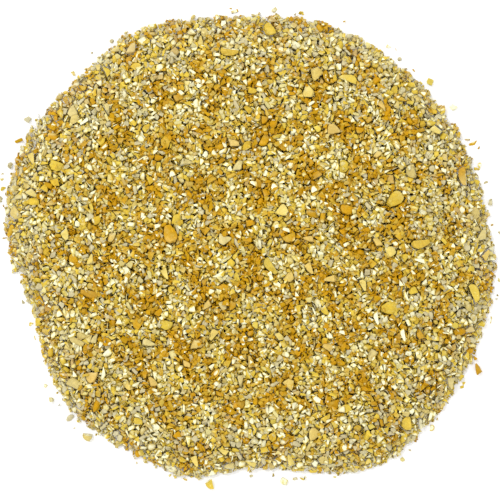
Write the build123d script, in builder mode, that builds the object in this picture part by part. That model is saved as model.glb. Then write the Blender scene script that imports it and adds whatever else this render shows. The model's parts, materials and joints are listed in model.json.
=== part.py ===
"""A shallow heap of cracked yellow maize lying on a flat surface, in millimetres.

The frame has +Z up, and its origin is on the resting surface at the middle of the heap.
Every coarse piece and every stray is a separate solid, cut from a kernel as a roller mill cracks it.
The packed grits below them are three flat layers, finest at the bottom.
"""

import math
import os
import random
from collections import namedtuple

from build123d import *

# A whole kernel of dent maize. +Y points to its crown, +X across its width and +Z out of its germ face.
kernel_length = 11.4
kernel_width = 8.2
kernel_thickness = 3.8  # halfway along it
tip_width = 3.0
shoulder_share = 0.62  # of the length, from the tip up to where the kernel is widest
flank_bulge = 0.55
face_bulge_radius = 9.5
face_taper = 4.0  # degrees between each broad face and the kernel's long axis
dent_radius = 3.2
dent_depth = 0.7
edge_round = 0.5

# Loose parts of a kernel that come away whole.
germ_length = 5.6
germ_width = 3.2
germ_thickness = 1.6
tip_cap_length = 2.0
tip_cap_radii = (1.4, 0.8)
flake_radius = 6.0
flake_thickness = 0.35
flake_arc = 44.0  # degrees
flake_length = 4.6

# Crack cells: for X, Y and Z, the least and greatest place of a cell's middle, then its reach from there.
crown_cell = [(-2.4, 2.4), (3.4, 4.6), (-0.8, 0.8)], [(1.5, 2.3), (1.3, 2.0), (1.1, 1.7)]
side_cell = [(2.5, 3.4), (-2.0, 2.6), (-0.6, 0.6)], [(1.1, 1.7), (1.4, 2.4), (1.2, 1.7)]
back_cell = [(-1.8, 1.8), (-2.5, 3.2), (-1.7, -1.0)], [(1.2, 2.1), (1.3, 2.2), (0.8, 1.2)]
heart_cell = [(-1.2, 1.2), (-1.5, 2.6), (-0.3, 0.5)], [(1.1, 1.7), (1.1, 1.8), (0.9, 1.4)]
tip_cell = [(-0.8, 0.8), (-4.6, -3.2), (-0.4, 0.4)], [(1.0, 1.6), (1.0, 1.6), (1.0, 1.4)]
sliver_cell = [(-3.0, 3.0), (-1.5, 1.5), (-1.0, 1.0)], [(0.6, 0.9), (2.2, 3.2), (0.6, 0.9)]
cell_side_turn = 0.3  # how far a side's direction may stray from its axis, as a share of unit length
cell_side_spread = 0.15  # of a side's distance, as a share of the cell's reach
cell_corners = 3  # knocked off each cell
cell_corner_turn = 0.4
cell_corner_reach = 1.15  # a corner's distance, as a share of the cell's reach in its direction

# Cracks right through a kernel: how far each may lie off its usual place, and its direction off its axis.
split_shift, split_turn = 0.6, 0.2
snap_shift, snap_turn = 0.7, 0.25

# The heap. Each radius is that of its rim, one every 15 degrees, anticlockwise from +X.
rim_radii = [
    150, 146, 147, 146, 146, 146, 144, 147, 153, 150, 154, 155,
    150, 141, 146, 150, 146, 146, 136, 143, 155, 154, 152, 151,
]  # fmt: skip
BedLayer = namedtuple("BedLayer", "name bottom top inset")
bed_layers = [
    BedLayer("bed_meal", 0.0, 3.0, 9.0),
    BedLayer("bed_fine_grits", 3.0, 6.0, 15.0),
    BedLayer("bed_medium_grits", 6.0, 8.5, 22.0),
]
rest_gap = 0.05  # between a piece and what it lies on
side_gap = 0.2  # between the outlines of neighbouring pieces, seen from above
wall_gap = 1.5  # between a piece's outline and the wall of a bed layer that it lies beside
rim_overhang = 1.0  # how far a piece may pass the rim
usual_tilt = 12.0  # degrees by which a piece lies off the level
places_tried = 1500  # for each piece, before the heap counts as full
mesh_error = 0.03  # of the outlines that pieces are placed by

chance = random.Random(20)


def kernel_outline():
    """The kernel seen from its germ face: a wedge with a round crown and a blunt tip."""
    low, high = -kernel_length / 2, kernel_length / 2
    shoulder = low + shoulder_share * kernel_length
    half, tip = kernel_width / 2, tip_width / 2
    with BuildSketch() as outline:
        with BuildLine():
            Line((-tip, low), (tip, low))
            SagittaArc((tip, low), (half, shoulder), -flank_bulge)
            ThreePointArc((half, shoulder), (0, high), (-half, shoulder))
            SagittaArc((-half, shoulder), (-tip, low), -flank_bulge)
        make_face()
    return outline.sketch


def kernel_body(rounded):
    """A whole kernel. Only those that stay whole have rounded edges."""
    reach = face_bulge_radius - kernel_thickness / 2
    with BuildPart() as body:
        with BuildSketch():
            add(kernel_outline())
        extrude(amount=kernel_thickness, both=True)
        for side in (1, -1):
            with Locations(Location((0, 0, -side * reach), (90 - side * face_taper, 0, 0))):
                Cylinder(face_bulge_radius, 3 * kernel_length, mode=Mode.INTERSECT)
        with Locations((0, kernel_length / 2 + dent_radius - dent_depth, 0)):
            Sphere(dent_radius, mode=Mode.SUBTRACT)
        if rounded:
            fillet(body.edges(), edge_round)
    return body.part


def cut(body, planes):
    """The largest piece of a body that is behind every plane, with its middle at the origin."""
    with BuildPart() as piece:
        add(body)
        for plane in planes:
            split(bisect_by=plane, keep=Keep.BOTTOM)
    largest = piece.part.solids().sort_by(SortBy.VOLUME)[-1]
    return largest.moved(Location(-largest.center()))


def jittered(direction, spread):
    """A unit direction turned a little at random."""
    return Vector(*(part + chance.uniform(-spread, spread) for part in direction)).normalized()


def crack_planes(middle, reach):
    """The faces of one crack cell: six sides of an uneven box and those of its knocked-off corners."""
    planes = []
    for axis in range(3):
        for side in (1, -1):
            straight = [0, 0, 0]
            straight[axis] = side
            normal = jittered(straight, cell_side_turn)
            distance = reach[axis] * chance.uniform(1 - cell_side_spread, 1 + cell_side_spread)
            planes.append(Plane(middle + normal * distance, z_dir=normal))
    for _ in range(cell_corners):
        normal = jittered([chance.choice((1, -1)) for _ in range(3)], cell_corner_turn)
        along = math.sqrt(sum((part * size) ** 2 for part, size in zip(normal, reach)))
        planes.append(Plane(middle + normal * along * cell_corner_reach, z_dir=normal))
    return planes


def cracked(middles, reaches):
    """A chip of the kernel from a crack cell picked at random within these ranges."""
    middle = Vector(*(chance.uniform(*r) for r in middles))
    reach = [chance.uniform(*r) for r in reaches]
    return cut(sharp_kernel, crack_planes(middle, reach))


def split_down():
    """The part of a kernel on either side of a crack down its length."""
    place = (chance.uniform(-split_shift, split_shift), 0, 0)
    crack = Plane(place, z_dir=jittered((chance.choice((1, -1)), 0, 0), split_turn))
    return cut(sharp_kernel, [crack])


def snapped(body, middle, side):
    """The crown end of a body, for side -1, or its tip end, for side 1, from a crack across it."""
    place = (0, middle + chance.uniform(-snap_shift, snap_shift), 0)
    crack = Plane(place, z_dir=jittered((0, side, 0), snap_turn))
    return cut(body, [crack])


def germ():
    """A germ knocked out whole: an almond with a flat back and an arched face."""
    end = (0, germ_length / 2)
    with BuildPart() as body:
        with BuildSketch():
            with BuildLine():
                ThreePointArc((0, -germ_length / 2), (germ_width / 2, 0), end)
                ThreePointArc((0, -germ_length / 2), (-germ_width / 2, 0), end)
            make_face()
        extrude(amount=2 * germ_thickness)
        with Locations(Location((0, 0, germ_thickness - germ_width), (90, 0, 0))):
            Cylinder(germ_width, germ_length, mode=Mode.INTERSECT)
    back = Plane((0, 0, germ_thickness / 4), z_dir=jittered((0, 0, -1), 0.12))
    return cut(body.part, [back])


def tip_cap():
    """The stub where the kernel grew from the cob: a short cone with one slanting end."""
    with BuildPart() as body:
        Cone(*tip_cap_radii, tip_cap_length)
        fillet(body.faces().sort_by(Axis.Z)[-1].edges(), tip_cap_radii[1] / 3)
    end = Plane((0, 0, -tip_cap_length / 3), z_dir=jittered((0, 0, -1), 0.3))
    return cut(body.part, [end])


def hull_flake():
    """A torn flake of the kernel's skin: a thin curved sheet with its corners torn off."""
    half = math.radians(flake_arc / 2)
    with BuildPart() as body:
        with BuildSketch():
            with BuildLine():
                outer = CenterArc((0, 0), flake_radius, 90 - flake_arc / 2, flake_arc)
                inner = CenterArc((0, 0), flake_radius - flake_thickness, 90 - flake_arc / 2, flake_arc)
                Line(outer @ 0, inner @ 0)
                Line(outer @ 1, inner @ 1)
            make_face()
        extrude(amount=flake_length / 2, both=True)
    tears = []
    for across in (1, -1):
        for along in (1, -1):
            corner = Vector(across * flake_radius * math.sin(half), 0, along * flake_length / 2)
            torn = Vector(0, flake_radius, 0) + corner * chance.uniform(0.45, 0.7)
            tears.append(Plane(torn, z_dir=jittered(corner.normalized(), 0.2)))
    return cut(body.part, tears)


round_kernel = kernel_body(rounded=True)
sharp_kernel = kernel_body(rounded=False)

# Each kind of coarse piece: its node, what makes one shape of it, how many shapes and how many pieces.
Kind = namedtuple("Kind", "name make shapes pieces")
kinds = [
    Kind("whole_kernels", lambda: round_kernel, 1, 3),
    Kind("split_kernels", split_down, 4, 8),
    Kind("crown_halves", lambda: snapped(sharp_kernel, 0.4, -1), 4, 18),
    Kind("tip_halves", lambda: snapped(sharp_kernel, 0.0, 1), 3, 12),
    Kind("crown_quarters", lambda: snapped(split_down(), 0.8, -1), 6, 60),
    Kind("tip_quarters", lambda: snapped(split_down(), 0.5, 1), 4, 44),
    Kind("germs", germ, 3, 40),
    Kind("hull_flakes", hull_flake, 4, 60),
    Kind("crown_chips", lambda: cracked(*crown_cell), 6, 130),
    Kind("side_chips", lambda: cracked(*side_cell), 6, 150),
    Kind("back_chips", lambda: cracked(*back_cell), 6, 150),
    Kind("heart_chips", lambda: cracked(*heart_cell), 6, 190),
    Kind("tip_chips", lambda: cracked(*tip_cell), 4, 70),
    Kind("slivers", lambda: cracked(*sliver_cell), 6, 150),
    Kind("tip_caps", tip_cap, 3, 40),
]

# Strays: name, kind, bearing in degrees anticlockwise from +X, and gap from the rim's outermost pieces.
Stray = namedtuple("Stray", "name kind bearing gap")
strays = [
    Stray("stray_chip_east", "side_chips", 11, 0.3),
    Stray("stray_grit_east_north_east", "heart_chips", 35, 2.1),
    Stray("stray_chip_north_east", "back_chips", 43, 1.6),
    Stray("stray_cap_north_east", "tip_caps", 52, 0.8),
    Stray("stray_cap_north_west", "tip_caps", 124, 0.4),
    Stray("stray_grit_west_north_west", "heart_chips", 150, 2.4),
    Stray("stray_sliver_west_north_west", "slivers", 155, 0.3),
    Stray("stray_chip_west", "crown_chips", 161, 0.3),
    Stray("stray_chip_south_west", "tip_chips", 217, 4.5),
    Stray("stray_germ_south_west", "germs", 223, 0.3),
    Stray("stray_quarter_south_west", "crown_quarters", 229, 0.8),
    Stray("stray_quarter_south", "crown_quarters", 260, 0.8),
    Stray("stray_chip_south", "back_chips", 278, 2.0),
    Stray("stray_quarter_south_east", "tip_quarters", 332, 2.0),
]


def rim_radius(bearing):
    """The rim's distance from the origin at a bearing in degrees."""
    step = 360 / len(rim_radii)
    before = int(bearing // step) % len(rim_radii)
    share = (bearing % step) / step
    return (1 - share) * rim_radii[before] + share * rim_radii[(before + 1) % len(rim_radii)]


def bed(layer):
    """One flat layer of packed grits, with the rim's outline drawn in by the layer's inset."""
    step = 2 * math.pi / len(rim_radii)
    points = [
        ((radius - layer.inset) * math.cos(i * step), (radius - layer.inset) * math.sin(i * step))
        for i, radius in enumerate(rim_radii)
    ]
    with BuildPart() as slab:
        with BuildSketch(Plane.XY.offset(layer.bottom)):
            with BuildLine():
                Spline(*points, periodic=True)
            make_face()
        extrude(amount=layer.top - layer.bottom)
    return slab.part


Lying = namedtuple("Lying", "shape radius lowest")


def lay_down(shape):
    """A shape turned to any heading and tilted a little, with its plan radius and its lowest point."""
    tilt = Location((0, 0, 0), (chance.gauss(0, usual_tilt), chance.gauss(0, usual_tilt), 0))
    face = Location((0, 0, 0), (chance.choice((0, 180)), 0, 0))
    heading = Location((0, 0, 0), (0, 0, chance.uniform(0, 360)))
    turned = shape.moved(heading * tilt * face)
    corners, _ = turned.tessellate(mesh_error)
    radius = max(math.hypot(c.X, c.Y) for c in corners)
    return Lying(turned, radius + mesh_error, min(c.Z for c in corners))


def floor_under(radius, bearing, reach):
    """The top of the highest bed layer below a piece of that plan radius, or 0 beyond the bed."""
    inwards = rim_radius(bearing) - radius + reach + wall_gap
    return max([layer.top for layer in bed_layers if layer.inset < inwards], default=0.0)


def dropped(piece, x, y, base):
    """A lying piece set down at a place."""
    return piece.shape.moved(Location((x, y, base + rest_gap - piece.lowest)))


def scatter(shapes):
    """Every coarse piece in its place, by kind. Large kinds come first, and no two plan outlines meet."""
    taken = []
    placed = {kind.name: [] for kind in kinds}
    for kind in kinds:
        for _ in range(kind.pieces):
            piece = lay_down(chance.choice(shapes[kind.name]))
            for _ in range(places_tried):
                bearing = chance.uniform(0, 360)
                furthest = rim_radius(bearing) + rim_overhang - piece.radius
                radius = furthest * math.sqrt(chance.random())
                x, y = radius * math.cos(math.radians(bearing)), radius * math.sin(math.radians(bearing))
                if all(math.hypot(x - a, y - b) > piece.radius + c + side_gap for a, b, c in taken):
                    taken.append((x, y, piece.radius))
                    base = floor_under(radius, bearing, piece.radius)
                    placed[kind.name].append(dropped(piece, x, y, base))
                    break
    return placed


def write(part, name):
    part.label = name
    export_step(part, f"parts/{name}.step", write_pcurves=False)


os.makedirs("parts", exist_ok=True)
shapes = {kind.name: [kind.make() for _ in range(kind.shapes)] for kind in kinds}

for layer in bed_layers:
    write(bed(layer), layer.name)

for name, pieces in scatter(shapes).items():
    with BuildPart() as group:
        add(pieces)
    write(group.part, name)

for stray in strays:
    piece = lay_down(shapes[stray.kind][0])
    radius = rim_radius(stray.bearing) + rim_overhang + stray.gap + piece.radius
    turn = math.radians(stray.bearing)
    with BuildPart() as loose:
        add(dropped(piece, radius * math.cos(turn), radius * math.sin(turn), 0.0))
    write(loose.part, stray.name)
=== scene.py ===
"""The looks of a heap of cracked maize.

Coarse pieces from the CAD are refined in place, and loose grits are poured under, round and over them.
Shapes are worked out in millimetres and turned into metres when a mesh object is made.
"""

import json
import math
from collections import namedtuple

import bmesh
import bpy
import numpy as np
from mathutils import Euler, Matrix, Vector, noise
from mathutils.bvhtree import BVHTree


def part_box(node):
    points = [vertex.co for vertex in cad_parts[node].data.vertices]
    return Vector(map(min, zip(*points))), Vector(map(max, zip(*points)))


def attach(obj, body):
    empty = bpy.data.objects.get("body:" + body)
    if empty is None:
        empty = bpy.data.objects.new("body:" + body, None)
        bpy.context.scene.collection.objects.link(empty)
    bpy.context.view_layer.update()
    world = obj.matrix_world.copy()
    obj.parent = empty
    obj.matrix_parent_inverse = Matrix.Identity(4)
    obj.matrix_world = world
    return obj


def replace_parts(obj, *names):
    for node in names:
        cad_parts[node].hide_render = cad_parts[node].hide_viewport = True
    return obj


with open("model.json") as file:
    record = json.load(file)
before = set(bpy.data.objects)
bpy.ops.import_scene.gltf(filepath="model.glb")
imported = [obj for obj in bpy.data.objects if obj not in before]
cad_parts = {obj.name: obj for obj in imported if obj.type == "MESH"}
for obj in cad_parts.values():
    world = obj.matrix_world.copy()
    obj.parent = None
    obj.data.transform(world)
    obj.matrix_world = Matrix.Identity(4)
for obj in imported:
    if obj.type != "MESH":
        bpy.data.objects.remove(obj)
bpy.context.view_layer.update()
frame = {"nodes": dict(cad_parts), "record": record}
rng = np.random.default_rng(7)

MM = 0.001
HEAP = "heap"
stray_nodes = sorted(n for n in frame["nodes"] if n.startswith("stray_"))
slot_of = {row["node"]: row["material_slot"] for row in frame["record"]["subparts"]}

# ---- Sizes and looks, in mm unless a line says otherwise ------------------------------------------------

# A kernel: +Y to its crown, +X across its width, +Z out of its germ face.
KERNEL_LENGTH = 11.4
KERNEL_HALF_WIDTH = 4.1
TIP_HALF_WIDTH = 1.5
SHOULDER = 0.62  # share of the length at which the kernel is widest
TIP_HALF_THICKNESS = 1.5
CROWN_HALF_THICKNESS = 2.25
DENT_DEPTH = 0.7
DENT_RADIUS = 1.6
END_POWER = 0.85  # below 1 the ends are blunter than a ball's
SIDE_POWER = 0.8  # below 1 the sides are squarer than a ball's

# The kernel's tissues: the middle and radii of its floury part and its germ, and the tip's stub along Y.
FLOUR_MIDDLE = (0, 1.2, -0.1)
FLOUR_RADII = (2.8, 4.3, 1.5)
GERM_MIDDLE = (0, -1.9, 1.3)
GERM_RADII = (1.7, 3.0, 1.0)
STUB = (-4.0, -5.2)
SKIN_FADE = (0.08, 0.25)  # depths at which the skin starts and stops giving way to what is inside
ON_SKIN = 0.15  # a point less deep than this moves as the skin does
NO_SKIN = 9.0  # the depth given to points of a piece that has no skin

# A crack cell: how far its sides lean and how their reach varies, then the same for its cut corners.
SIDE_LEAN = 0.45
SIDE_REACH = (0.8, 1.2)
CORNER_COUNT = (2, 5)  # at least the first and fewer than the second
CORNER_LEAN = 0.5
CORNER_REACH = (0.9, 1.2)

# Shares of a piece's size, for rounding its edges, for its longest edge and for the roughness of its cracks.
Finish = namedtuple("Finish", "rounding longest roughness")
GRIT_FINISH = Finish(0.07, 0.75, 0.05)
COARSE_FINISH = Finish(0.05, 0.36, 0.1)
LONGEST_AT_LEAST = 0.3
ROUGHNESS_AT_LEAST = 0.03
SKIN_ROUGHNESS = 0.4  # share of a crack's roughness that skin has
COARSE_NOISE = 0.8  # per mm
FINE_NOISE = 2.3  # per mm
FINE_NOISE_SHARE = 0.6
NOISE_SPAN = 50.0

SHARP = math.radians(22)  # a steeper fold between two faces is the edge of a crack
MERGE = 0.08  # corners nearer than this become one
HULL_FLAT = math.radians(3)
PLAIN_FLAT = math.radians(20)  # folds below this are left out of a grain's plain mesh
CAD_FLAT = math.radians(1)
SAME_FACE = 0.9995  # cosine between the normals of faces in one plane
LEAST_VOLUME = 0.15  # mm3, the smallest grain cracked from the kernel

# Ranges of flouriness that grits are cracked from, and how unevenly their reach is stretched.
ANY_PART = (0, 1)
HORNY_PART = (0, 0.45)
FLOURY_PART = (0.7, 1)
MILD_STRETCH = (0.42, 0.42, 0.42)
STRONG_STRETCH = (0.55, 0.55, 0.55)
SPLINTER_STRETCH = (0.3, 0.75, 0.3)

FLAKE_REACH = (1.2, 2.6)
FLAKE_SIDE_REACH = (0.9, 1.8)
FLAKE_HALF_THICKNESS = 0.22
FLAKE_DEPTH = 0.1

# The CAD bed's layers: how far their walls stand in from the rim, and their tops.
BED_LAYERS = ("bed_meal", "bed_fine_grits", "bed_medium_grits")
BED_STEPS = ((9.0, 3.0), (15.0, 6.0), (22.0, 8.5))

# The height map that grains are poured on.
GRID = 0.35  # the side of a cell
SPAN = 330.0  # the side of the map
FLOOR_GAP = 0.1  # room under a grain on the floor for the roughness of its faces
NOTHING = 1e6  # stands for no surface: minus this in a top or a ceiling, plus this in a bottom
EDGE_ON = 1e-3  # a face whose normal rises less than this is a wall
LYING_TILT = math.radians(16)

# The heap's outline.
RIM_OUT = 1.5  # how far the loose rim lies outside the bed's
RIM_RIPPLE = 1.2
RIM_WAVES = ((11.0, 3), (5.0, 4))  # wave lengths and seeds
SLOPE = 0.5  # height gained per mm inwards from the rim
TOP_WAVES = (38.0, 5)  # wave length and seed
TOP_ROUNDING = 1.2
HEAP_STRAY_ROOM = 1.2
FRINGE_STRAY_ROOM = 1.0
FRINGE_OVERLAP = 0.5
FRINGE_HEIGHT = 3.0
WAVE_COUNT = 6
WAVE_SPREAD = (0.7, 1.4)  # shares of the wave length

# Which grains get their fine mesh.
SURFACE_SLACK = 0.02
SHOWN_SHARE = 0.25  # share of a grain's cells that must be on the surface
RIM_STRIP = 3  # a grain nearer the rim than this can be seen from the side
TINY = 5  # height map cells along X under a grain too small to need its fine mesh
GRAINS_PER_OBJECT = 2000

# How grains vary, each value being from 0 to 1. Like grains keep loose company, and grains near the rim are
# paler and greyer.
COMPANY_WAVES = ((10.0, 11, 0.45), (24.0, 13, 0.5))  # wave length, seed and strength
RIM_BAND = 60.0
MEAN_HUE = 0.54
HUE_SPREAD = 0.3
RIM_PALENESS = 0.3
COMPANY_CLEANNESS = 0.24
# How much more of the grey dust colour grains near the rim take on.
RIM_GREYING = 0.4
VALUE_SHAPE = (2.0, 1.5)  # of a beta distribution

# The mean share of a tissue above which a grit counts as that kind, tried in this order.
GERM_KIND = 0.45
SKIN_KIND = 0.3
FLOUR_KIND = 0.4

# The camera and the light, in metres and watts. The heap stands a little off the middle of the picture.
CAMERA_PLACE = (-0.0009, -0.0008, 1.5)
VIEW_WIDTH = 0.310
SENSOR_WIDTH = 36  # mm
KEY_PLACE = (-0.7, 0.7, 1.4)
KEY_SIZE = 0.5
KEY_WATTS = 10
SKY_STRENGTH = 1.22
FLOOR_SIZE = 6
FLOOR_GREY = 0.9


# ---- Cracking a kernel ----------------------------------------------------------------------------------


def kernel_surface(detail):
    """A whole kernel as a bmesh."""
    bm = bmesh.new()
    bmesh.ops.create_icosphere(bm, subdivisions=detail, radius=1.0)
    for v in bm.verts:
        x, y, z = v.co
        ring = math.sqrt(max(0.0, 1 - y * y))
        along = math.copysign(abs(y) ** END_POWER, y)
        share = (along + 1) / 2
        widening = math.sin(min(share / SHOULDER, 1) * math.pi / 2)
        width = TIP_HALF_WIDTH + (KERNEL_HALF_WIDTH - TIP_HALF_WIDTH) * widening
        thick = TIP_HALF_THICKNESS + (CROWN_HALF_THICKNESS - TIP_HALF_THICKNESS) * share
        blunt = math.sqrt(ring) / ring if ring > 1e-6 else 0.0
        x2 = math.copysign(abs(x * blunt) ** SIDE_POWER, x) * width
        z2 = math.copysign(abs(z * blunt) ** SIDE_POWER, z) * thick
        dent = DENT_DEPTH * math.exp(-(x2 * x2 + z2 * z2) / DENT_RADIUS**2) if y > 0 else 0.0
        v.co = (x2, along * KERNEL_LENGTH / 2 - dent, z2)
    return bm


def unit(v):
    return np.asarray(v, float) / np.linalg.norm(v)


def crack_cell(middle, reach):
    """The planes of one crack cell: six sides of an uneven box and some corners knocked off it."""
    planes = []
    for axis in range(3):
        for side in (1, -1):
            straight = np.zeros(3)
            straight[axis] = side
            n = unit(straight + rng.uniform(-SIDE_LEAN, SIDE_LEAN, 3))
            planes.append((middle + n * reach[axis] * rng.uniform(*SIDE_REACH), n))
    for _ in range(rng.integers(*CORNER_COUNT)):
        n = unit(rng.choice((-1, 1), 3) + rng.uniform(-CORNER_LEAN, CORNER_LEAN, 3))
        planes.append((middle + n * np.linalg.norm(n * reach) * rng.uniform(*CORNER_REACH), n))
    return planes


def spin():
    """A random rotation, as a 3 by 3 array."""
    q = rng.normal(size=4)
    w, x, y, z = q / np.linalg.norm(q)
    return np.array([
        [1 - 2 * (y * y + z * z), 2 * (x * y - z * w), 2 * (x * z + y * w)],
        [2 * (x * y + z * w), 1 - 2 * (x * x + z * z), 2 * (y * z - x * w)],
        [2 * (x * z - y * w), 2 * (y * z + x * w), 1 - 2 * (x * x + y * y)],
    ])  # fmt: skip


def hull_of(bm):
    """Replaces what a bmesh holds by its convex hull, with flat faces in one piece."""
    if len(bm.verts) < 4:
        bm.clear()
        return
    bmesh.ops.delete(bm, geom=bm.faces[:], context="FACES_ONLY")
    bmesh.ops.delete(bm, geom=bm.edges[:], context="EDGES_FACES")
    bmesh.ops.remove_doubles(bm, verts=bm.verts[:], dist=MERGE)
    made = bmesh.ops.convex_hull(bm, input=bm.verts[:])
    inner = {g for g in made["geom_interior"] if isinstance(g, bmesh.types.BMVert)}
    bmesh.ops.delete(bm, geom=list(inner), context="VERTS")
    bmesh.ops.dissolve_limit(bm, angle_limit=HULL_FLAT, verts=bm.verts[:], edges=bm.edges[:])


def crack(body, planes):
    """The convex piece of a body inside every plane."""
    bm = body.copy()
    for point, normal in planes:
        bmesh.ops.bisect_plane(
            bm,
            geom=bm.verts[:] + bm.edges[:] + bm.faces[:],
            plane_co=Vector(point),
            plane_no=Vector(normal),
            clear_outer=True,
        )
    hull_of(bm)
    return bm


def depth_below(skin, point):
    """Distance from a point to a skin surface, or a large one if the piece has no skin."""
    if skin is None:
        return NO_SKIN
    nearest = skin.find_nearest(point)
    return nearest[3] if nearest[3] is not None else NO_SKIN


def refine(bm, size, finish, skin):
    """Rounds a piece's sharp edges, then roughens its faces: more on a crack than on the skin."""
    sharp = [e for e in bm.edges if len(e.link_faces) == 2 and e.calc_face_angle(0) > SHARP]
    if sharp:
        rounding = finish.rounding * size
        bmesh.ops.bevel(
            bm, geom=sharp, offset=rounding, segments=1, profile=0.5, affect="EDGES", clamp_overlap=True
        )
    longest = finish.longest * size + LONGEST_AT_LEAST
    for _ in range(3):
        long_edges = [e for e in bm.edges if e.calc_length() > longest]
        if not long_edges:
            break
        bmesh.ops.triangulate(bm, faces=[f for f in bm.faces if len(f.verts) > 4])
        long_edges = [e for e in bm.edges if e.calc_length() > longest]
        bmesh.ops.subdivide_edges(bm, edges=long_edges, cuts=1, use_grid_fill=True)
    bmesh.ops.triangulate(bm, faces=bm.faces[:])
    bm.normal_update()
    shift = Vector(rng.uniform(-NOISE_SPAN, NOISE_SPAN, 3))
    roughness = finish.roughness * size + ROUGHNESS_AT_LEAST
    moves = []
    for v in bm.verts:
        rough = roughness * (SKIN_ROUGHNESS if depth_below(skin, v.co) < ON_SKIN else 1.0)
        coarse = noise.noise(v.co * COARSE_NOISE + shift)
        fine = noise.noise(v.co * FINE_NOISE - shift)
        moves.append(v.normal * (rough * (coarse + FINE_NOISE_SHARE * fine)))
    for v, move in zip(bm.verts, moves):
        v.co += move


def smooth(low, high, x):
    """0 at low and 1 at high, with a smooth step between them."""
    t = np.clip((np.asarray(x, float) - low) / (high - low), 0, 1)
    return t * t * (3 - 2 * t)


def ellipsoid(points, middle, radii):
    """1 at an ellipsoid's middle, 0.5 on its surface and 0 well outside it."""
    reach = np.linalg.norm((points - np.array(middle)) / np.array(radii), axis=1)
    return 1 - smooth(0.6, 1.4, reach)


def skin_at(depth):
    """1 on the skin and 0 a little way below it."""
    return 1 - smooth(*SKIN_FADE, depth)


def kernel_tissue(points, depth):
    """How much skin, floury starch and germ there is at points in the kernel's own frame."""
    flour = ellipsoid(points, FLOUR_MIDDLE, FLOUR_RADII)
    germ = ellipsoid(points, GERM_MIDDLE, GERM_RADII)
    stub = smooth(*STUB, points[:, 1])
    return np.column_stack([skin_at(depth), flour, np.maximum(germ, stub)])


# A mesh's vertices, triangles and tissue, and a grain shape: its two meshes, its hull's planes, its
# principal axes and what kind of grain it is.
Mesh = namedtuple("Mesh", "points faces tissue")
Shape = namedtuple("Shape", "fine plain normals offsets long_axes kind")


def as_mesh(bm, tissue):
    bm.verts.index_update()
    points = np.array([v.co for v in bm.verts], float).reshape(-1, 3)
    faces = np.array([[v.index for v in f.verts] for f in bm.faces], int).reshape(-1, 3)
    return Mesh(points, faces, tissue(points, bm))


def hull_planes(bm):
    """Outward normals and offsets of a convex bmesh's faces."""
    bm.normal_update()
    normals = np.array([f.normal for f in bm.faces], float).reshape(-1, 3)
    offsets = np.array([f.normal.dot(f.verts[0].co) for f in bm.faces], float)
    return normals, offsets


def principal_axes(points):
    """Rotation whose rows are the long, middle and short axis of some points."""
    spread = points - points.mean(0)
    _, _, axes = np.linalg.svd(spread, full_matrices=False)
    if np.linalg.det(axes) < 0:
        axes[2] = -axes[2]
    return axes


def plain_copy(bm):
    """A bmesh's copy without its slighter folds, in triangles."""
    plain = bm.copy()
    bmesh.ops.dissolve_limit(plain, angle_limit=PLAIN_FLAT, verts=plain.verts[:], edges=plain.edges[:])
    bmesh.ops.triangulate(plain, faces=plain.faces[:])
    return plain


def grit(kind, middle, reach, turn=None):
    """A grain shape from a crack cell, or None if the cell misses the kernel."""
    planes = crack_cell(np.zeros(3), reach)
    turn = spin() if turn is None else turn
    bm = crack(kernel, [(middle + turn @ point, turn @ normal) for point, normal in planes])
    if len(bm.faces) < 4 or bm.calc_volume() < LEAST_VOLUME:
        bm.free()
        return None
    normals, offsets = hull_planes(bm)
    points = np.array([v.co for v in bm.verts], float)
    centre = points.mean(0)

    def tissue(where, body):
        depth = np.array([depth_below(kernel_skin, v.co) for v in body.verts])
        return kernel_tissue(where, depth)

    plain_bm = plain_copy(bm)
    plain = as_mesh(plain_bm, tissue)
    plain_bm.free()
    refine(bm, float(np.cbrt(bm.calc_volume())), GRIT_FINISH, kernel_skin)
    fine = as_mesh(bm, tissue)
    bm.free()
    return Shape(
        Mesh(fine.points - centre, fine.faces, fine.tissue),
        Mesh(plain.points - centre, plain.faces, plain.tissue),
        normals,
        offsets - normals @ centre,
        principal_axes(points),
        kind,
    )


kernel = kernel_surface(3)
kernel_skin = BVHTree.FromBMesh(kernel)


def inside_kernel():
    """A random point in the kernel."""
    while True:
        p = rng.uniform(-1, 1, 3) * (KERNEL_HALF_WIDTH, KERNEL_LENGTH / 2, CROWN_HALF_THICKNESS)
        nearest, normal, _, _ = kernel_skin.find_nearest(Vector(p))
        if normal.dot(Vector(p) - nearest) < 0:
            return p


def grit_library(count, least, most, flour_range, stretch=MILD_STRETCH):
    """Grains of about one size, cracked from where the kernel is floury within a range."""
    shapes = []
    while len(shapes) < count:
        middle = inside_kernel()
        floury = kernel_tissue(middle[None], NO_SKIN)[0, 1]
        if not flour_range[0] <= floury <= flour_range[1]:
            continue
        reach = np.exp(rng.normal(0, 1, 3) * stretch)
        found = grit("grit", middle, rng.uniform(least, most) * reach / np.cbrt(reach.prod()))
        if found:
            shapes.append(found)
    return shapes


def flake_library(count):
    """Thin flakes of skin."""
    shapes = []
    while len(shapes) < count:
        nearest, normal, _, _ = kernel_skin.find_nearest(Vector(inside_kernel()))
        z = unit(normal)
        x = unit(np.cross(z, rng.normal(size=3)))
        turn = np.column_stack([x, np.cross(z, x), z])
        reach = [rng.uniform(*FLAKE_REACH), rng.uniform(*FLAKE_SIDE_REACH), FLAKE_HALF_THICKNESS]
        found = grit("flake", np.array(nearest) - z * FLAKE_DEPTH, np.array(reach), turn)
        if found:
            shapes.append(found)
    return shapes


# ---- Pouring --------------------------------------------------------------------------------------------

Pose = namedtuple("Pose", "shape turn scale low top bottom lowest")
Grain = namedtuple("Grain", "shape turn scale place corner top")

cells = int(SPAN / GRID)
ground = np.zeros((cells, cells))


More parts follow.
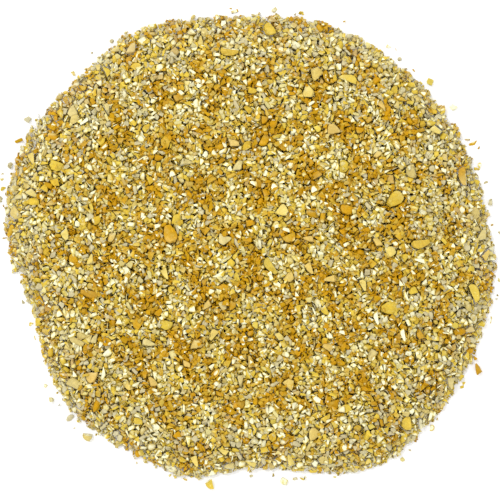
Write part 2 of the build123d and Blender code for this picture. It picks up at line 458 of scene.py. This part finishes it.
def lying(shape, level_share):
    """A way for a grain to lie: mostly on its flattest side, sometimes any way up."""
    if rng.random() < level_share:
        yaw = rng.uniform(0, 2 * math.pi)
        tilt = Euler(rng.normal(0, LYING_TILT, 2).tolist() + [0]).to_matrix()
        level = np.array(tilt) @ shape.long_axes
        turn = np.array(Matrix.Rotation(yaw, 3, "Z")) @ level
    else:
        turn = spin()
    return turn


def pose_of(shape, turn, scale):
    """A turned and scaled grain with its top and bottom height maps, relative to its centre."""
    points = (shape.plain.points @ turn.T) * scale
    low = np.floor(points[:, :2].min(0) / GRID).astype(int)
    high = np.ceil(points[:, :2].max(0) / GRID).astype(int)
    normals, offsets = shape.normals @ turn.T, shape.offsets * scale
    x = (np.arange(low[0], high[0]) + 0.5) * GRID
    y = (np.arange(low[1], high[1]) + 0.5) * GRID
    gx, gy = np.meshgrid(x, y, indexing="ij")
    side = offsets[:, None, None] - normals[:, 0, None, None] * gx - normals[:, 1, None, None] * gy
    nz = normals[:, 2]
    up, down, wall = nz > EDGE_ON, nz < -EDGE_ON, abs(nz) <= EDGE_ON
    top = (side[up] / nz[up, None, None]).min(0)
    bottom = (side[down] / nz[down, None, None]).max(0)
    inside = (top > bottom) & (side[wall] >= 0).all(0)
    top, bottom = np.where(inside, top, -NOTHING), np.where(inside, bottom, NOTHING)
    return Pose(shape, turn, scale, low, top, bottom, points[:, 2].min())


def poses_of(shapes, each, low_scale, high_scale, level_share=0.75):
    """Each shape lying in a few random ways, at random scales."""
    return [
        pose_of(s, lying(s, level_share), rng.uniform(low_scale, high_scale))
        for s in shapes
        for _ in range(each)
    ]


def is_surface(heights):
    """Where a height map has a surface."""
    return heights > -NOTHING / 2


def pour(poses, ceiling, count, tries, give_up, poured):
    """Drops grains one by one, each at the place with most room under the ceiling, out of a few tried."""
    open_cells = np.argwhere(ceiling > 0)
    missed = 0
    for _ in range(count):
        pose = poses[rng.integers(len(poses))]
        if not is_surface(pose.top).any():
            continue
        best = None
        w, h = pose.top.shape
        for i, j in open_cells[rng.integers(len(open_cells), size=tries)] + pose.low:
            here = ground[i : i + w, j : j + h]
            if here.shape != (w, h):
                continue
            z = max((here - pose.bottom).max(), FLOOR_GAP - pose.lowest)
            room = (ceiling[i : i + w, j : j + h] - z - pose.top).min()
            if room >= 0 and (best is None or room > best[0]):
                best = (room, z, i, j)
        if best is None:
            missed += 1
            if missed > give_up:
                break
            continue
        missed = 0
        _, z, i, j = best
        ground[i : i + w, j : j + h] = np.maximum(ground[i : i + w, j : j + h], z + pose.top)
        x, y = ((np.array((i, j)) - pose.low) * GRID) - SPAN / 2
        place = np.array((x, y, z))
        poured.append(Grain(pose.shape, pose.turn, pose.scale, place, (i, j), z + pose.top))


# ---- The rim and the room inside it ---------------------------------------------------------------------


def rim_from_bed():
    """The rim's bearing and radius in mm, a step out from the lowest bed layer's wall."""
    co = np.array([v.co for v in frame["nodes"]["bed_meal"].data.vertices], float) / MM
    bearing, radius = np.arctan2(co[:, 1], co[:, 0]), np.hypot(co[:, 0], co[:, 1])
    order = np.argsort(bearing)
    return bearing[order], radius[order] + BED_STEPS[0][0]


def waves(x, y, length, seed):
    """Smooth random waves, mostly between -1 and 1."""
    local = np.random.default_rng(seed)
    total = np.zeros_like(x)
    for _ in range(WAVE_COUNT):
        heading, phase = local.uniform(0, 2 * math.pi, 2)
        k = 2 * math.pi / (length * local.uniform(*WAVE_SPREAD))
        total += np.sin(k * (x * math.cos(heading) + y * math.sin(heading)) + phase)
    return total / (WAVE_COUNT / 2)


rim_bearing, rim_radius = rim_from_bed()


def rim_at(bearing):
    """The rim's radius in mm at a bearing."""
    return np.interp(bearing, rim_bearing, rim_radius, period=2 * math.pi)


along_side = (np.arange(cells) + 0.5) * GRID - SPAN / 2
grid_x, grid_y = np.meshgrid(along_side, along_side, indexing="ij")
inwards = rim_at(np.arctan2(grid_y, grid_x)) - np.hypot(grid_x, grid_y)
inwards_wavy = inwards + RIM_OUT
for wave_length, wave_seed in RIM_WAVES:
    inwards_wavy = inwards_wavy + RIM_RIPPLE * waves(grid_x, grid_y, wave_length, wave_seed)


def inwards_at(place):
    """Distance in mm from a place to the rim."""
    return rim_at(math.atan2(place[1], place[0])) - math.hypot(place[0], place[1])


def bed_ceiling():
    """The CAD bed's stepped top."""
    top = np.zeros_like(inwards)
    for inset, height in BED_STEPS:
        top[inwards > inset] = height
    return top


def near_strays(margin):
    """The cells within a margin in mm of a stray's box, which no poured grain may cover."""
    near = np.zeros(inwards.shape, bool)
    for node in stray_nodes:
        (x1, y1, _), (x2, y2, _) = (np.array(corner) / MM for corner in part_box(node))
        across = (grid_x > x1 - margin) & (grid_x < x2 + margin)
        near |= across & (grid_y > y1 - margin) & (grid_y < y2 + margin)
    return near


def heap_ceiling(middle, foot, ripple):
    """The heap's rounded-off outline: a height at the rim, a slope up from it and a nearly level middle."""
    rise = foot + SLOPE * inwards_wavy
    level = middle + ripple * waves(grid_x, grid_y, *TOP_WAVES)
    soft = -TOP_ROUNDING * np.logaddexp(-rise / TOP_ROUNDING, -level / TOP_ROUNDING)
    return np.where((inwards_wavy > 0) & ~near_strays(HEAP_STRAY_ROOM), soft, -NOTHING)


def fringe_ceiling(reach):
    """Room for a thin scatter of single grains just past the rim, clear of the strays."""
    strip = (inwards_wavy > -reach) & (inwards_wavy < FRINGE_OVERLAP)
    return np.where(strip & ~near_strays(FRINGE_STRAY_ROOM), FRINGE_HEIGHT, -NOTHING)


# ---- Coarse pieces from the CAD -------------------------------------------------------------------------


def components(mesh):
    """The loose parts of a CAD node's mesh, each as vertices and triangles in mm."""
    points = np.array([v.co for v in mesh.vertices], float) / MM
    mesh.calc_loop_triangles()
    triangles = np.array([t.vertices for t in mesh.loop_triangles], int)
    _, first, same = np.unique(np.round(points, 3), axis=0, return_index=True, return_inverse=True)
    points, triangles = points[first], same.reshape(-1)[triangles]
    label = np.arange(len(points))
    while True:
        least = label[triangles].min(1)
        new = label.copy()
        for corner in range(3):
            np.minimum.at(new, triangles[:, corner], least)
        new = new[new]
        if (new == label).all():
            break
        label = new
    for root in np.unique(label[triangles[:, 0]]):
        own = triangles[label[triangles[:, 0]] == root]
        used, local = np.unique(own, return_inverse=True)
        yield points[used], local.reshape(-1, 3)


def bmesh_from(points, triangles):
    bm = bmesh.new()
    verts = [bm.verts.new(p) for p in points]
    for t in triangles:
        if len(set(t)) == 3:
            try:
                bm.faces.new([verts[i] for i in t])
            except ValueError:
                continue
    bmesh.ops.recalc_face_normals(bm, faces=bm.faces[:])
    return bm


def face_groups(bm):
    """The faces of a bmesh in groups that no sharp edge divides."""
    reached = set()
    for start in bm.faces:
        if start in reached:
            continue
        reached.add(start)
        group, todo = [], [start]
        while todo:
            face = todo.pop()
            group.append(face)
            for e in face.edges:
                if len(e.link_faces) == 2 and e.calc_face_angle(0) < SHARP:
                    fresh = [other for other in e.link_faces if other not in reached]
                    reached.update(fresh)
                    todo += fresh
        yield group


def skin_of(bm):
    """A search tree over a piece's curved faces, which are the kernel's skin, or None if it has none."""
    curved = []
    for group in face_groups(bm):
        if any(f.normal.dot(group[0].normal) < SAME_FACE for f in group):
            curved += group
    if not curved:
        return None
    corners = [v.co.copy() for f in curved for v in f.verts]
    polygons, at = [], 0
    for f in curved:
        polygons.append(list(range(at, at + len(f.verts))))
        at += len(f.verts)
    return BVHTree.FromPolygons(corners, polygons)


# For each CAD kind: how floury its inside is, how much germ it has and how far its skin shows.
Look = namedtuple("Look", "flour germ skin")
LOOKS = {
    "whole_kernels": Look(0.0, 0.0, 1.0),
    "split_kernels": Look(0.8, 0.1, 1.0),
    "crown_halves": Look(0.9, 0.0, 1.0),
    "tip_halves": Look(0.3, 0.5, 1.0),
    "crown_quarters": Look(0.7, 0.0, 1.0),
    "tip_quarters": Look(0.3, 0.5, 1.0),
    "germs": Look(0.0, 1.0, 0.0),
    "hull_flakes": Look(0.0, 0.2, 0.8),
    "crown_chips": Look(0.6, 0.0, 1.0),
    "side_chips": Look(0.15, 0.0, 1.0),
    "back_chips": Look(0.2, 0.0, 1.0),
    "heart_chips": Look(0.9, 0.1, 1.0),
    "tip_chips": Look(0.3, 0.35, 1.0),
    "slivers": Look(0.35, 0.1, 1.0),
    "tip_caps": Look(0.2, 0.6, 0.4),
}

# The CAD kind that each stray looks like, by the second word of its name.
STRAY_KINDS = {
    "chip": "side_chips",
    "grit": "heart_chips",
    "cap": "tip_caps",
    "sliver": "slivers",
    "germ": "germs",
    "quarter": "crown_quarters",
}


def refined_piece(points, triangles, look):
    """A CAD piece with its edges rounded and its cracks roughened, and the tissue at its vertices."""
    bm = bmesh_from(points, triangles)
    bmesh.ops.dissolve_limit(bm, angle_limit=CAD_FLAT, verts=bm.verts[:], edges=bm.edges[:])
    skin = skin_of(bm)
    size = float(np.cbrt(abs(bm.calc_volume(signed=True))))
    refine(bm, size, COARSE_FINISH, skin)
    flour_share = look.flour * rng.uniform(0.6, 1.3)
    pale_end, pale = unit(rng.normal(size=3)), rng.uniform(0, 0.35)

    def tissue(where, body):
        depth = np.array([depth_below(skin, v.co) for v in body.verts])
        flour = flour_share * smooth(0.5, 1.6, depth)
        along = (where - where.mean(0)) @ pale_end / size
        germ = np.minimum(look.germ + pale * smooth(0.0, 0.8, along), 1)
        return np.column_stack([look.skin * skin_at(depth), flour, germ])

    made = as_mesh(bm, tissue)
    bm.free()
    return made


def piece_hull(points):
    """A CAD piece as a lying grain that can be an obstacle on the height map."""
    bm = bmesh.new()
    for p in points:
        bm.verts.new(p)
    hull_of(bm)
    normals, offsets = hull_planes(bm)
    hull_points = np.array([v.co for v in bm.verts], float)
    bm.free()
    shape = Shape(None, Mesh(hull_points, None, None), normals, offsets, None, "piece")
    return pose_of(shape, np.eye(3), 1.0)


def set_down(pose):
    """Adds a fixed piece, whose points are already in the heap's frame, to the height map."""
    i, j = pose.low + int(round(SPAN / 2 / GRID))
    w, h = pose.top.shape
    ground[i : i + w, j : j + h] = np.maximum(ground[i : i + w, j : j + h], pose.top)


# ---- Materials ------------------------------------------------------------------------------------------

# A slot's pale and deep colours, inside and on the skin, in display values, and its share of dusty grains.
Colours = namedtuple("Colours", "horny horny_deep skin skin_deep dust_share")
SLOT_COLOURS = {
    # The meal's colours are paler than the grits'. This is partly the real paleness of meal and partly
    # painted light, which lifts the shade in the gaps where the bed shows between the loose grains.
    "meal": Colours((226, 220, 164), (196, 168, 46), (210, 197, 126), (188, 149, 14), 0.34),
    "skinned_kernel": Colours((212, 200, 122), (185, 142, 3), (206, 178, 60), (185, 137, 0), 0.05),
    "horny_chip": Colours((214, 206, 138), (178, 138, 6), (206, 184, 74), (179, 132, 0), 0.2),
    "floury_chip": Colours((230, 226, 180), (187, 151, 28), (208, 193, 104), (180, 138, 4), 0.28),
    "germ": Colours((216, 210, 164), (192, 170, 78), (206, 192, 114), (185, 154, 42), 0.25),
    "hull": Colours((218, 211, 162), (190, 162, 54), (208, 197, 132), (189, 153, 38), 0.3),
    "tip_cap": Colours((208, 201, 158), (183, 157, 64), (198, 185, 116), (178, 146, 44), 0.2),
}
FLOUR_COLOUR = (241, 238, 198)
GERM_COLOUR = (214, 202, 150)
GERM_SKIN_COLOUR = (222, 208, 138)
PATCH_COLOUR = (224, 198, 96)
DUST_COLOUR = (188, 178, 140)

# How fine each noise is, per metre.
PATCHES = 260.0
BLOTCHES = 700.0
MOTTLES = 1100.0
BUMPS = 1800.0
SPECKS = 2600.0
BUMP_HEIGHT = 0.00025  # metres


def linear(colour):
    """A colour given in display values from 0 to 255, as the linear values that nodes take."""
    values = []
    for c in colour:
        bright = ((c / 255 + 0.055) / 1.055) ** 2.4
        values.append(c / 255 / 12.92 if c <= 10 else bright)
    return (*values, 1.0)


class Nodes:
    """Short ways to add nodes to a material."""

    def __init__(self, tree):
        self.tree = tree

    def add(self, kind, **values):
        node = self.tree.nodes.new(kind)
        for key, value in values.items():
            setattr(node, key, value)
        return node

    def link(self, out, into):
        self.tree.links.new(out, into)

    def put(self, value, into):
        if isinstance(value, bpy.types.NodeSocket):
            self.link(value, into)
        else:
            into.default_value = value

    def split(self, attribute):
        """The three values of a mesh attribute."""
        node = self.add("ShaderNodeSeparateXYZ")
        source = self.add("ShaderNodeAttribute", attribute_name=attribute)
        self.link(source.outputs["Vector"], node.inputs[0])
        return node.outputs

    def mix(self, share, a, b):
        node = self.add("ShaderNodeMix", data_type="RGBA")
        self.put(share, node.inputs[0])
        self.put(a, node.inputs[6])
        self.put(b, node.inputs[7])
        return node.outputs[2]

    def maths(self, operation, a, b, clamp=False):
        node = self.add("ShaderNodeMath", operation=operation, use_clamp=clamp)
        self.put(a, node.inputs[0])
        self.put(b, node.inputs[1])
        return node.outputs[0]

    def stirred(self, value, stir, amount):
        """A value moved up and down by a noise, by at most half an amount either way."""
        swing = self.maths("SUBTRACT", stir, 0.5)
        return self.maths("ADD", value, self.maths("MULTIPLY", swing, amount))

    def scale(self, colour, by):
        node = self.add("ShaderNodeVectorMath", operation="SCALE")
        self.link(colour, node.inputs[0])
        self.put(by, node.inputs["Scale"])
        return node.outputs[0]

    def ramp(self, value, low, high, to_low=0.0, to_high=1.0):
        node = self.add("ShaderNodeMapRange", interpolation_type="SMOOTHSTEP")
        self.put(value, node.inputs["Value"])
        for key, number in (("From Min", low), ("From Max", high), ("To Min", to_low), ("To Max", to_high)):
            node.inputs[key].default_value = number
        return node.outputs["Result"]

    def noise(self, scale, detail=2.0, offset=0.0):
        place = self.add("ShaderNodeTexCoord")
        shifted = self.add("ShaderNodeVectorMath", operation="ADD")
        self.link(place.outputs["Object"], shifted.inputs[0])
        shifted.inputs[1].default_value = (offset, offset, offset)
        node = self.add("ShaderNodeTexNoise")
        self.link(shifted.outputs[0], node.inputs["Vector"])
        node.inputs["Scale"].default_value = scale
        node.inputs["Detail"].default_value = detail
        return node.outputs["Fac"]


def maize(name, colours):
    """Maize, whose look at each point comes from the tissue there and from the grain it belongs to."""
    material = bpy.data.materials.new(name)
    material.use_nodes = True
    n = Nodes(material.node_tree)
    shader = material.node_tree.nodes["Principled BSDF"]
    skin_share, flour_share, germ_share = n.split("tissue")
    value, hue, dust = n.split("grain")
    patch = n.noise(PATCHES, 2.0, 0.71)
    blotch = n.noise(BLOTCHES, 3.0)
    mottle = n.noise(MOTTLES, 3.0, 0.53)
    speck = n.noise(SPECKS, 2.0, 0.37)

    dark = n.ramp(value, 0.0, 1.0, 0.87, 1.07)
    depth = n.maths("ADD", hue, n.ramp(mottle, 0.25, 0.75, -0.25, 0.25), clamp=True)
    horn = n.mix(n.ramp(depth, 0.15, 0.8), linear(colours.horny), linear(colours.horny_deep))
    flour_edge = n.stirred(flour_share, blotch, 0.9)
    paleness = n.maths("MULTIPLY", n.maths("SUBTRACT", 0.5, hue), 0.75)
    flour_edge = n.maths("ADD", flour_edge, paleness)
    inside = n.mix(n.ramp(flour_edge, 0.32, 0.5), n.scale(horn, dark), linear(FLOUR_COLOUR))
    germ_edge = n.stirred(germ_share, blotch, 0.5)
    inside = n.mix(n.ramp(germ_edge, 0.4, 0.75), inside, linear(GERM_COLOUR))

    skin_depth = n.ramp(n.stirred(hue, blotch, 0.6), 0.1, 0.9)
    hide = n.scale(n.mix(skin_depth, linear(colours.skin), linear(colours.skin_deep)), dark)
    hide = n.mix(n.ramp(patch, 0.5, 0.75, 0.0, 0.3), hide, linear(PATCH_COLOUR))
    hide = n.mix(n.maths("MULTIPLY", germ_share, 0.8), hide, linear(GERM_SKIN_COLOUR))
    base = n.mix(skin_share, inside, hide)

    clean_share = 1.0 - colours.dust_share
    dusty_grain = n.ramp(dust, clean_share, clean_share + 0.1)
    dusty = n.maths("MULTIPLY", dusty_grain, n.ramp(speck, 0.1, 0.6, 0.5, 0.95))
    base = n.mix(dusty, base, linear(DUST_COLOUR))
    shade = n.maths("MULTIPLY", n.ramp(speck, 0.1, 0.9, 0.88, 1.1), n.ramp(mottle, 0.25, 0.75, 1.08, 0.9))
    shade = n.maths("MULTIPLY", shade, n.ramp(patch, 0.3, 0.7, 1.07, 0.88))
    n.link(n.scale(base, shade), shader.inputs["Base Color"])

    rough = n.maths("SUBTRACT", 0.62, n.maths("MULTIPLY", skin_share, 0.3))
    rough = n.maths("ADD", rough, n.maths("MULTIPLY", flour_share, 0.2))
    n.link(rough, shader.inputs["Roughness"])
    shader.inputs["Specular IOR Level"].default_value = 0.15
    bump = n.add("ShaderNodeBump")
    bump.inputs["Strength"].default_value = 0.5
    bump.inputs["Distance"].default_value = BUMP_HEIGHT
    n.link(n.noise(BUMPS, 4.0, 0.11), bump.inputs["Height"])
    n.link(bump.outputs[0], shader.inputs["Normal"])
    return material


materials = {slot: maize(slot, colours) for slot, colours in SLOT_COLOURS.items()}

# ---- Mesh objects ---------------------------------------------------------------------------------------


def make_object(name, parts, slot, body):
    """Joins meshes, each with its grain's random values, into one object that rides a body."""
    points = np.concatenate([p.points for p, _ in parts]) * MM
    tissue = np.concatenate([p.tissue for p, _ in parts])
    grain = np.concatenate([np.tile(look, (len(p.points), 1)) for p, look in parts])
    starts = np.cumsum([0] + [len(p.points) for p, _ in parts[:-1]])
    faces = np.concatenate([p.faces + start for (p, _), start in zip(parts, starts)])
    mesh = bpy.data.meshes.new(name)
    mesh.vertices.add(len(points))
    mesh.vertices.foreach_set("co", points.ravel())
    mesh.loops.add(faces.size)
    mesh.loops.foreach_set("vertex_index", faces.ravel())
    mesh.polygons.add(len(faces))
    mesh.polygons.foreach_set("loop_start", np.arange(0, faces.size, 3))
    mesh.update(calc_edges=True)
    for key, values in (("tissue", tissue), ("grain", grain)):
        attribute = mesh.attributes.new(key, "FLOAT_VECTOR", "POINT")
        attribute.data.foreach_set("vector", values.astype(np.float32).ravel())
    mesh.materials.append(materials[slot])
    mesh.validate()
    made = bpy.data.objects.new(name, mesh)
    bpy.context.scene.collection.objects.link(made)
    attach(made, body)
    return made


def grain_look(place):
    """A grain's lightness, depth of colour and dust, each from 0 to 1."""
    x, y = np.array([place[0]]), np.array([place[1]])
    rim = float(smooth(RIM_BAND, 0.0, inwards_at(place)))
    company = sum(strength * waves(x, y, length, seed)[0] for length, seed, strength in COMPANY_WAVES)
    # Near the rim a grain's hue is paler and it takes on more of the grey dust colour.
    hue = MEAN_HUE + company + rng.uniform(-HUE_SPREAD, HUE_SPREAD) - RIM_PALENESS * rim
    dust = rng.random() - COMPANY_CLEANNESS * company + RIM_GREYING * rim
    return rng.beta(*VALUE_SHAPE), min(max(hue, 0.0), 1.0), min(max(dust, 0.0), 1.0)


def seen(grain):
    """True if enough of a grain is on the heap's finished surface, or if it lies at the rim."""
    i, j = grain.corner
    w, h = grain.top.shape
    shown = (grain.top >= ground[i : i + w, j : j + h] - SURFACE_SLACK).sum()
    return shown > SHOWN_SHARE * is_surface(grain.top).sum() or inwards[i, j] < RIM_STRIP


def placed(grain):
    """A poured grain's mesh where it lies: the fine one if the grain can be seen well."""
    fine = seen(grain) and len(grain.top) > TINY
    mesh = grain.shape.fine if fine else grain.shape.plain
    return Mesh((mesh.points @ grain.turn.T) * grain.scale + grain.place, mesh.faces, mesh.tissue)


def grain_parts(grains):
    return [(placed(g), grain_look(g.place)) for g in grains]


def replace_by_pieces(node, pieces, look, body):
    """Puts a refined copy of each piece of a CAD node in the node's place."""
    parts = [(refined_piece(points, faces, look), grain_look(points[0])) for points, faces in pieces]
    made = make_object(node + "_look", parts, slot_of[node], body)
    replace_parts(made, node)


# ---- The heap -------------------------------------------------------------------------------------------

coarse = {node: list(components(frame["nodes"][node].data)) for node in LOOKS}

bed_shapes = grit_library(60, least=0.9, most=1.9, flour_range=ANY_PART)
small_shapes = grit_library(110, least=0.72, most=1.3, flour_range=ANY_PART, stretch=STRONG_STRETCH)
small_shapes += grit_library(90, least=0.7, most=1.2, flour_range=FLOURY_PART, stretch=SPLINTER_STRETCH)
larger_shapes = grit_library(80, least=1.3, most=2.3, flour_range=HORNY_PART)
flake_shapes = flake_library(30)
tiny_shapes = grit_library(40, least=0.32, most=0.6, flour_range=ANY_PART)

bed_grains = []
bed_poses = poses_of(bed_shapes, 6, 0.8, 1.3, level_share=0.4)
pour(bed_poses, bed_ceiling(), count=30000, tries=6, give_up=400, poured=bed_grains)

for pieces in coarse.values():
    for points, _ in pieces:
        set_down(piece_hull(points))

larger_poses = poses_of(larger_shapes, 6, 0.8, 1.15)
small_poses = poses_of(small_shapes, 8, 0.8, 1.25) + poses_of(flake_shapes, 8, 0.8, 1.2)
tiny_poses = poses_of(tiny_shapes, 8, 0.8, 1.25)

# Each pour's grains, the height they may reach in the middle and at the rim and how much it ripples, then
# how many are poured at most, how many places each tries and how many failures in a row end the pour.
Pour = namedtuple("Pour", "poses middle foot ripple count tries give_up")
POURS = (
    Pour(larger_poses, 12.4, 3.6, 0.5, 3600, 10, 60),
    Pour(small_poses, 12.2, 2.8, 0.5, 26000, 10, 250),
    Pour(small_poses, 13.8, 3.6, 0.6, 2500, 3, 100),
    Pour(small_poses, 15.2, 4.2, 0.6, 900, 1, 100),
    Pour(tiny_poses, 11.3, 1.6, 0.5, 14000, 12, 200),
)
# How far past the rim each scatter reaches, and how many grains it has at most.
FRINGES = ((2.5, 330), (6.0, 150))

loose = []
for p in POURS:
    pour(p.poses, heap_ceiling(p.middle, p.foot, p.ripple), p.count, p.tries, p.give_up, loose)
for reach, count in FRINGES:
    pour(small_poses, fringe_ceiling(reach), count, tries=1, give_up=100, poured=loose)
print("poured", len(bed_grains), "bed,", len(loose), "loose")

for node, pieces in coarse.items():
    replace_by_pieces(node, pieces, LOOKS[node], HEAP)
for node in stray_nodes:
    look = LOOKS[STRAY_KINDS[node.split("_")[1]]]
    replace_by_pieces(node, components(frame["nodes"][node].data), look, node)


def layer_of(grain):
    """The bed layer that a grain's centre lies in."""
    for node, (_, top) in zip(BED_LAYERS[:-1], BED_STEPS):
        if grain.place[2] < top:
            return node
    return BED_LAYERS[-1]


def kind_of(grain):
    """The kind of grit that a loose grain is."""
    skin, flour, germ = grain.shape.fine.tissue.mean(0)
    if grain.shape.kind == "flake":
        return "hull_grits"
    if germ > GERM_KIND:
        return "germ_grits"
    if skin > SKIN_KIND:
        return "skinned_grits"
    return "floury_grits" if flour > FLOUR_KIND else "horny_grits"


# The bed's grains show in the gaps between the loose grains, and their meal colours are paler there partly
# as painted light.
for node in BED_LAYERS:
    grains = [g for g in bed_grains if layer_of(g) == node]
    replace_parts(make_object(node + "_look", grain_parts(grains), "meal", HEAP), node)

GRIT_SLOTS = {
    "horny_grits": "horny_chip",
    "floury_grits": "floury_chip",
    "skinned_grits": "skinned_kernel",
    "germ_grits": "germ",
    "hull_grits": "hull",
}
for kind, slot in GRIT_SLOTS.items():
    grains = [g for g in loose if kind_of(g) == kind]
    share_count = math.ceil(len(grains) / GRAINS_PER_OBJECT)
    for k in range(share_count):
        make_object(f"{kind}_{k + 1}", grain_parts(grains[k::share_count]), slot, HEAP)

# ---- Floor, light and camera ----------------------------------------------------------------------------

bpy.ops.mesh.primitive_plane_add(size=FLOOR_SIZE, location=(0, 0, 0))
floor = bpy.context.object
floor.name = "floor"
floor_look = bpy.data.materials.new("floor_white")
floor_look.use_nodes = True
floor_shader = floor_look.node_tree.nodes["Principled BSDF"]
floor_shader.inputs["Base Color"].default_value = (FLOOR_GREY, FLOOR_GREY, FLOOR_GREY, 1)
floor_shader.inputs["Roughness"].default_value = 1.0
floor.data.materials.append(floor_look)

world = bpy.data.worlds.new("studio")
bpy.context.scene.world = world
world.use_nodes = True
sky = world.node_tree.nodes["Background"]
sky.inputs["Color"].default_value = (1, 1, 1, 1)
sky.inputs["Strength"].default_value = SKY_STRENGTH

key = bpy.data.lights.new("key", "AREA")
key.size = KEY_SIZE
key.energy = KEY_WATTS
lamp = bpy.data.objects.new("key", key)
lamp.location = KEY_PLACE
lamp.rotation_euler = (-Vector(KEY_PLACE)).to_track_quat("-Z", "Y").to_euler()
bpy.context.scene.collection.objects.link(lamp)

camera = bpy.data.cameras.new("camera")
camera.sensor_width = SENSOR_WIDTH
camera.lens = camera.sensor_width * CAMERA_PLACE[2] / VIEW_WIDTH
eye = bpy.data.objects.new("camera", camera)
eye.location = CAMERA_PLACE
bpy.context.scene.collection.objects.link(eye)
bpy.context.scene.camera = eye
bpy.context.scene.view_settings.view_transform = "Standard"
